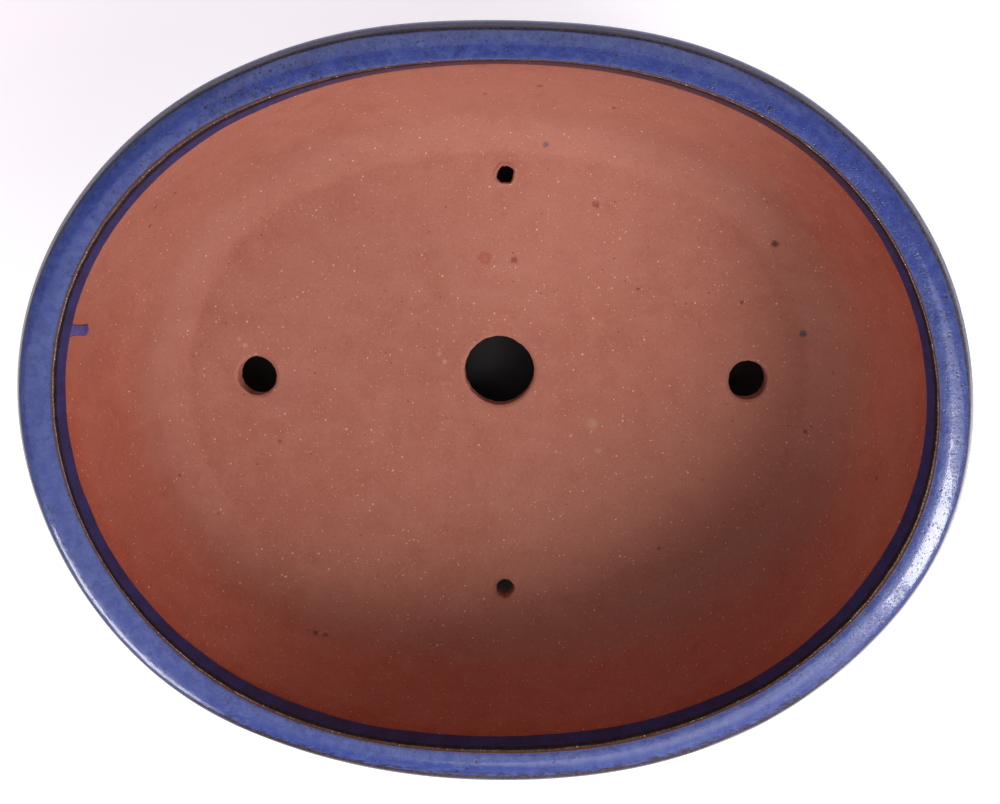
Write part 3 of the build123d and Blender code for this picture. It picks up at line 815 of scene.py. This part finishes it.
def lip_glaze_material():
    g = Mat("glaze_lip")
    V = g.attr("V")
    dens_, brow_, smut_ = g.attr("dens"), g.attr("brow"), g.attr("smut")
    milky, deep, violet = (0.070, 0.102, 0.315), (0.034, 0.052, 0.245), (0.082, 0.084, 0.275)
    col, mid, mot, fin = glaze_blue(g, milky, deep, violet)
    # along the crown the coat is thicker and a cleaner blue
    n_long = g.noise(0.06, 3, 0.6)
    crown = g.sub(V, V_BLUE)
    band = g.mul(g.step(crown, 2.0, 4.6), g.step(crown, 8.6, 6.2))
    col = g.mix(g.mul(g.mul(band, g.step(n_long, 0.36, 0.60)), 0.50), col, (0.032, 0.055, 0.290))
    # outer slope and inner shoulder run thin and chalky
    thin = g.mx(g.step(g.sub(V_EDGE, V), 3.4, 0.8), g.step(crown, 1.8, 0.3))
    col = g.mix(g.mul(thin, 0.34), col, (0.075, 0.098, 0.250))
    bumpy = g.mul(mot, 0.25)

    # pinholes and iron specks
    brownblack = (0.020, 0.011, 0.013)
    pit = None
    for sc, sz, kp, sd, a in ((0.95, 0.36, 0.36, 11.0, 0.90), (0.55, 0.56, 0.24, 12.0, 0.88), (1.5, 0.26, 0.34, 13.0, 0.78), (0.27, 0.90, 0.12, 14.0, 0.80)):
        v = g.vmath("ADD", g.P, g.vmath("SCALE", g.vmath("SUBTRACT", g.noise(1.3, 2, 0.6, color=True), (0.5, 0.5, 0.5)), scale=0.55))
        s, h = g.specks(sc, sz, kp, sd, vec=v, soft=0.45)
        clus = g.step(g.add(g.noise(0.16, 3, 0.65, vec=g.vmath("ADD", g.P, (sd, -sd, 0.0))), g.mul(g.sub(dens_, 0.5), 0.34)), 0.44, 0.60)
        s = g.mul(g.mul(s, clus), a)
        col = g.mix(s, col, brownblack)
        pit = s if pit is None else g.mx(pit, s)
    # smudged iron clouds on the shoulder
    cl = g.noise(0.30, 4, 0.72, vec=g.vmath("ADD", g.P, (5.0, 50.0, 9.0)), dist=0.6)
    cl2 = g.noise(0.05, 2, 0.5, vec=g.vmath("ADD", g.P, (80.0, 5.0, 9.0)))
    cloud = g.mul(g.step(g.add(g.add(cl, g.mul(cl2, 0.5)), g.mul(smut_, 0.22)), 0.90, 1.08), g.step(crown, 0.4, 1.6))
    cloud = g.mul(cloud, g.step(crown, 9.5, 6.0))
    grain = g.step(g.noise(1.6, 3, 0.75), 0.40, 0.62)
    col = g.mix(g.mul(g.mul(cloud, grain), 0.80), col, (0.030, 0.018, 0.022))

    # streaks of iron follow the front of the lip just inside its edge
    gx, gy = g.sep(g.P)[0], g.sep(g.P)[1]
    front = g.step(g.add(g.mul(gx, 0.10 / 178.0), g.mul(gy, -0.99 / 144.0)), 0.55, 0.84)
    streak = g.noise(0.55, 4, 0.72, vec=g.vmath("MULTIPLY", g.P, (0.30, 1.0, 1.0)), dist=0.3)
    sm_ = g.mul(g.mul(g.step(V, 18.4, 20.6), g.step(V, 22.9, 21.9)), g.step(streak, 0.45, 0.58))
    col = g.mix(g.mul(g.mul(sm_, front), 0.82), col, (0.034, 0.021, 0.026))

    # the sharp outer edge breaks to brown
    wob = g.add(g.mul(g.sub(g.noise(0.45, 4, 0.7), 0.5), 1.5), g.mul(g.sub(g.noise(2.0, 2, 0.6), 0.5), 0.7))
    e_in = g.add(g.sub(V, V_EDGE), g.mul(wob, 0.55))
    w_in = g.sub(g.mul(brow_, -0.62), g.mul(front, 0.75))
    outer = g.mul(g.step(e_in, g.sub(w_in, 0.30), g.add(w_in, 0.06)), g.step(e_in, 1.15, 0.35))
    edge_col = g.mix(g.step(g.noise(1.1, 3, 0.7), 0.42, 0.62), (0.030, 0.020, 0.022), (0.085, 0.058, 0.050))
    col = g.mix(g.mul(outer, 0.93), col, edge_col)
    # painted shade: the outer face under the sharp edge is painted near-black, except where the key light falls on it
    # (lit)
    painted_under_shade = g.mul(g.step(e_in, 0.3, 1.0), g.step(e_in, 6.5, 3.0))
    lit = g.step(g.add(g.mul(gx, 0.88 / 178.0), g.mul(gy, -0.47 / 144.0)), 0.78, 0.97)
    col = g.mix(g.mul(g.mul(painted_under_shade, 0.80), g.sub(1.0, lit)), col, (0.030, 0.022, 0.040))
    dim = g.mul(g.step(V, 22.2, 23.1), g.sub(1.0, g.mul(lit, 0.9)))

    # the inner fold: thin red-brown line, bare light line with tiny painted glints (painted highlights), near-black,
    # then navy
    w2 = g.add(g.mul(g.sub(g.noise(0.9, 4, 0.75, vec=g.vmath("ADD", g.P, (3.0, 9.0, 4.0))), 0.5), 0.50), g.mul(g.sub(g.noise(0.2, 2, 0.5), 0.5), 0.4))
    f = g.add(g.sub(V, V_FOLD), g.mul(w2, 0.28))
    inner = g.step(g.sub(f, V_BLUE - V_FOLD), 0.10, -0.22)
    Ps = g.vmath("MULTIPLY", g.P, (1.0, 1.0, 0.28))          # streaks run down the band
    s1_ = g.noise(0.55, 4, 0.75, vec=Ps)
    s2_ = g.noise(0.16, 3, 0.6, vec=g.vmath("ADD", Ps, (40.0, 0.0, 0.0)))
    navy = g.mix(g.step(s2_, 0.40, 0.62), (0.0165, 0.0255, 0.112), (0.0225, 0.0360, 0.165))
    navy = g.mix(g.mul(g.step(s1_, 0.54, 0.68), 0.80), navy, (0.026, 0.0170, 0.034))
    navy = g.mix(g.mul(g.step(g.noise(1.2, 3, 0.7, vec=Ps), 0.54, 0.68), 0.5), navy, (0.024, 0.034, 0.175))
    back2 = g.step(g.add(g.mul(gx, -0.42 / 160.0), g.mul(gy, 0.90 / 126.0)), 0.70, 0.93)
    bk_ = g.step(g.add(g.mul(gx, 0.26 / 160.0), g.mul(gy, 0.97 / 126.0)), 0.72, 0.97)
    navy = g.mix(g.mul(bk_, 0.70), navy, (0.062, 0.026, 0.024))
    black = g.mix(g.step(g.noise(0.8, 4, 0.75, vec=Ps), 0.45, 0.62), (0.0135, 0.0065, 0.0070), (0.034, 0.0150, 0.0120))
    edge_n = g.add(-0.55, g.mul(g.sub(s1_, 0.5), 3.6))
    zone = g.mix(g.step(f, edge_n, g.sub(edge_n, 1.3)), black, navy)
    zone = g.mix(g.mul(g.step(V, 0.9, 0.2), 0.60), zone, (0.075, 0.022, 0.085))
    line = g.mul(g.step(f, 0.34, 0.52), g.step(f, 0.98, 0.80))
    linec = g.mix(g.step(g.noise(1.3, 3, 0.8), 0.40, 0.62), (0.110, 0.070, 0.058), (0.360, 0.295, 0.250))
    quiet = g.mx(g.mul(front, 0.55), g.mul(back2, 0.55))
    zone = g.mix(g.mul(g.mul(line, g.sub(1.0, quiet)), g.lerp(g.noise(0.35, 3, 0.7), 0.35, 0.6, 0.40, 0.95)), zone, linec)
    # painted highlights: tiny bright glints on the bare fold line
    painted_glint, gh = g.specks(1.25, 0.20, 0.20, 21.0)
    zone = g.mix(g.mul(g.mul(painted_glint, g.step(f, 0.2, 0.5)), g.step(f, 1.1, 0.8)), zone, (0.80, 0.70, 0.62))
    redl = g.mul(g.step(f, 0.86, 1.00), g.step(f, 1.85, 1.50))
    zone = g.mix(g.mul(redl, 0.90), zone, (0.105, 0.0280, 0.0200))
    col = g.mix(inner, col, zone)
    # a few iron teeth run from the fold into the blue
    teeth = g.mul(g.mul(g.step(crown, 1.5, -0.1), g.step(crown, -0.6, 0.0)), g.step(g.noise(0.75, 4, 0.75, vec=g.vmath("ADD", g.P, (13.0, 2.0, 2.0))), 0.52, 0.66))
    col = g.mix(g.mul(teeth, 0.85), col, (0.035, 0.020, 0.022))

    h = g.add(g.mul(g.noise(0.55, 2, 0.5), 0.5), bumpy)
    h = g.sub(h, g.mul(pit, 0.55))
    h = g.add(h, g.mul(g.mul(inner, g.noise(1.7, 4, 0.75)), 0.9))
    nb = g.bump(h, 0.00030, 0.55)
    ncoat = g.bump(g.add(g.noise(0.28, 2, 0.5), g.mul(pit, -0.8)), 0.00025, 0.30)
    rough = g.lerp(g.noise(0.8, 3, 0.6), 0.3, 0.7, 0.16, 0.26)
    rough = g.add(rough, g.mul(pit, 0.25))
    rough = g.add(rough, g.mul(inner, 0.20))
    shine = g.sub(1.0, inner)
    dull = g.mx(dim, g.mul(g.mul(front, g.step(V, 15.5, 18.6)), 0.80))
    g.set(color=col, rough=rough, spec=g.mul(g.lerp(shine, 0.0, 1.0, 0.22, 0.5), g.sub(1.0, g.mul(dull, 0.85))), normal=nb, coat=g.mul(g.mul(shine, 0.55), g.sub(1.0, dull)), coat_rough=0.07, coat_normal=ncoat)
    return g.m


def outer_glaze_material(name, foot=False):
    g = Mat(name)
    xyz = g.sep(g.P)
    milky, deep, violet = (0.058, 0.082, 0.255), (0.028, 0.042, 0.200), (0.062, 0.064, 0.220)
    col, mid, mot, fin = glaze_blue(g, milky, deep, violet)
    run = g.noise(0.20, 3, 0.6, vec=g.vmath("MULTIPLY", g.P, (1.0, 1.0, 0.22)), dist=0.4)
    col = g.mix(g.mul(g.step(run, 0.50, 0.68), 0.40), col, milky)
    pit = None
    for sc, sz, kp, sd, a in ((0.9, 0.25, 0.22, 41.0, 0.85), (0.45, 0.45, 0.14, 42.0, 0.85)):
        s, h_ = g.specks(sc, sz, kp, sd)
        s = g.mul(g.mul(s, g.step(g.noise(0.09, 3, 0.6, vec=g.vmath("ADD", g.P, (sd, 0.0, 0.0))), 0.46, 0.60)), a)
        col = g.mix(s, col, (0.020, 0.012, 0.014))
        pit = s if pit is None else g.mx(pit, s)
    zb = g.add(xyz[2], g.mul(g.sub(g.noise(0.35, 4, 0.7), 0.5), 2.4))
    if foot:
        brown = g.step(zb, 7.0, 3.4)
        col = g.mix(g.mul(brown, 0.8), col, (0.060, 0.030, 0.026))
        bare = g.step(zb, 2.7, 2.2)
        col = g.mix(bare, col, g.mix(g.step(g.noise(1.6, 3, 0.7), 0.4, 0.65), (0.25, 0.085, 0.058), (0.40, 0.150, 0.105)))
    else:
        brown = g.step(zb, 22.5, 17.6)
        col = g.mix(g.mul(brown, 0.85), col, (0.055, 0.030, 0.028))
        bare = g.step(zb, -5.0, -6.0)
    h = g.sub(g.add(g.mul(g.noise(0.5, 2, 0.5), 0.5), g.mul(mot, 0.2)), g.mul(pit, 0.5))
    rough = g.add(g.lerp(g.noise(0.7, 3, 0.6), 0.3, 0.7, 0.14, 0.24), g.mul(bare, 0.6))
    g.set(color=col, rough=rough, spec=0.5, normal=g.bump(h, 0.0003, 0.5))
    if not foot:
        g.set(coat=0.5, coat_rough=0.07)
    return g.m


def run_material():
    g = Mat("glaze_run")
    rim = g.attr("rim")
    n = g.noise(0.8, 3, 0.6)
    xr = g.sep(g.P)[2]
    col = g.mix(g.step(n, 0.4, 0.62), (0.040, 0.062, 0.260), (0.062, 0.090, 0.330))
    col = g.mix(g.step(xr, 92.0, 85.5), col, (0.045, 0.042, 0.235))
    col = g.mix(g.step(g.add(rim, g.mul(g.sub(n, 0.5), 0.25)), 0.74, 0.93), col, (0.030, 0.016, 0.022))
    col = g.mix(g.step(xr, 84.6, 83.9), col, (0.16, 0.085, 0.14))
    g.set(color=col, rough=g.lerp(n, 0.3, 0.7, 0.18, 0.30), spec=0.5, normal=g.bump(g.noise(1.2, 2, 0.5), 0.0002, 0.4), coat=0.4, coat_rough=0.1)
    return g.m


lip_mat = lip_glaze_material()
outer_mat = outer_glaze_material("glaze_outside")
foot_mat = outer_glaze_material("glaze_foot", True)
run_mat = run_material()

for ob, mt, node, slot in (
    (floor_clay, clay, "floor_slab", "clay"), (wall_clay, clay, "body_wall base_ring", "clay"), (lip_clay, clay, "rim_lip", "clay"),
    (lip_glaze, lip_mat, "glaze_rim", "glaze"), (outer_glaze, outer_mat, "glaze_outer", "glaze"), (glaze_run, run_mat, "glaze_drip", "glaze"),
    (feet["front_left"], foot_mat, "foot_front_left", "clay_foot"), (feet["front_right"], foot_mat, "foot_front_right", "clay_foot"),
    (feet["back_left"], foot_mat, "foot_back_left", "clay_foot"), (feet["back_right"], foot_mat, "foot_back_right", "clay_foot"),
):
    ob.data.materials.append(mt)
    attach(ob, "root")
    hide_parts(*node.split())
for nm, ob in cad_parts.items():
    ob.data.materials.clear()
    ob.data.materials.append(clay if "glaze" not in nm else outer_mat)

# ------------------------------------------------------------------ stage: pale floor that glows as painted light, near-black disc under the pot, lights
def plane(name, cx, cy, z, hx, hy, n=24):
    xs, ys = np.linspace(cx - hx, cx + hx, n + 1), np.linspace(cy - hy, cy + hy, n + 1)
    V = [(a, b, z) for b in ys for a in xs]
    F = [(j * (n + 1) + i, j * (n + 1) + i + 1, (j + 1) * (n + 1) + i + 1, (j + 1) * (n + 1) + i) for j in range(n) for i in range(n)]
    return new_mesh(name, V, F)


ground = plane("ground", 0, 0, -0.6, 4500, 4500)
gm = Mat("pale_floor")
gx_ = gm.sep(gm.P)
# painted shade: the floor is painted darker and pinker towards the back left, where the pot's shadow falls
painted_shade_ramp = gm.step(gm.add(gx_[1], gm.mul(gx_[0], -0.25)), 20.0, 330.0)
n0 = gm.noise(0.004, 3, 0.5)
gcol = gm.mix(painted_shade_ramp, (0.46, 0.45, 0.46), (0.36, 0.34, 0.37))
gcol = gm.mix(gm.mul(n0, 0.06), gcol, (0.42, 0.41, 0.43))
# the floor glows with its own emission, painted light that hides the cast shadows
gm.set(color=gcol, rough=gm.lerp(n0, 0.3, 0.7, 0.80, 0.88), spec=0.2, emit=gm.mix(painted_shade_ramp, (1.0, 0.985, 1.0), (0.88, 0.76, 0.85)), emit_s=0.82,
       normal=gm.bump(gm.noise(0.6, 2, 0.5), 0.0001, 0.2))
ground.data.materials.append(gm.m)

# a near-black disc lies under the pot, so the holes look dark
aa = np.arange(96) / 96 * 2 * np.pi
dark_disc = new_mesh("dark_disc_under_pot", [(138 * math.cos(t), 106 * math.sin(t), -0.45) for t in aa] + [(138 * math.cos(t), 106 * math.sin(t), -0.1) for t in aa],
                [tuple(range(96, 192))] + [(i, (i + 1) % 96, 96 + (i + 1) % 96, 96 + i) for i in range(96)])
rm_ = Mat("dark_disc_under_pot")
rn = rm_.noise(0.2, 3, 0.5)
rm_.set(color=rm_.mix(rn, (0.006, 0.005, 0.006), (0.010, 0.009, 0.011)), rough=rm_.lerp(rn, 0.3, 0.7, 0.45, 0.6), spec=0.3)
dark_disc.data.materials.append(rm_.m)

world = bpy.data.worlds.new("studio")
bpy.context.scene.world = world
world.use_nodes = True
bg = world.node_tree.nodes["Background"]
bg.inputs[0].default_value = (1.0, 0.98, 1.0, 1.0)
bg.inputs[1].default_value = 0.06


def softbox(name, az, el, dist, sx, sy, power, color=(1, 1, 1), target=(0, 0, 0.08)):
    """az: compass angle of the box seen from the pot (0 = +X, 90 = +Y); el: height angle."""
    a, e = math.radians(az), math.radians(el)
    d = Vector((math.cos(a) * math.cos(e), math.sin(a) * math.cos(e), math.sin(e)))
    li = bpy.data.lights.new(name, "AREA")
    li.shape, li.size, li.size_y = "RECTANGLE", sx, sy
    li.energy = power
    li.color = color
    ob = bpy.data.objects.new(name, li)
    ob.location = Vector(target) + d * dist
    ob.rotation_euler = (-d).to_track_quat("-Z", "Y").to_euler()
    bpy.context.scene.collection.objects.link(ob)
    return ob


LIGHTS = [
    ("key_right", 331, 42, 1.5, 0.34, 0.85, 11.8, (1.0, 0.98, 0.965)),
    ("key_wide", 316, 50, 1.5, 1.70, 1.00, 11.0, (1.0, 0.98, 0.965)),
    ("low_front", 288, 24, 1.5, 1.40, 0.90, 4.7, (1.0, 0.98, 0.965)),
    ("left_wide", 216, 58, 1.5, 1.70, 1.30, 4.4, (0.99, 0.98, 0.975)),
    ("left_strip", 222, 25, 1.5, 0.75, 0.25, 6.0, (0.99, 0.97, 0.99)),
    ("back_fill", 90, 45, 1.5, 1.60, 1.00, 3.5, (0.99, 0.98, 0.975)),
]
for L in LIGHTS:
    softbox(*L)

# ------------------------------------------------------------------ camera
cam_d = bpy.data.cameras.new("cam")
cam = bpy.data.objects.new("cam", cam_d)
bpy.context.scene.collection.objects.link(cam)
cam_d.sensor_width = 36.0
cam_d.sensor_fit = "HORIZONTAL"
cam_d.lens = 36.0 * 1.307133
cam_d.clip_start, cam_d.clip_end = 0.01, 50.0
R3 = Matrix(((0.999731, -0.006496, 0.022261), (0.002908, 0.987503, 0.157575), (-0.023006, -0.157468, 0.987256)))
cam.matrix_world = Matrix.Translation((0.01398, 0.08197, 0.58233)) @ R3.to_4x4()
bpy.context.scene.camera = cam

sc = bpy.context.scene
sc.view_settings.view_transform = "Standard"
sc.view_settings.look = "None"
sc.view_settings.exposure = 0.0
sc.view_settings.gamma = 1.0
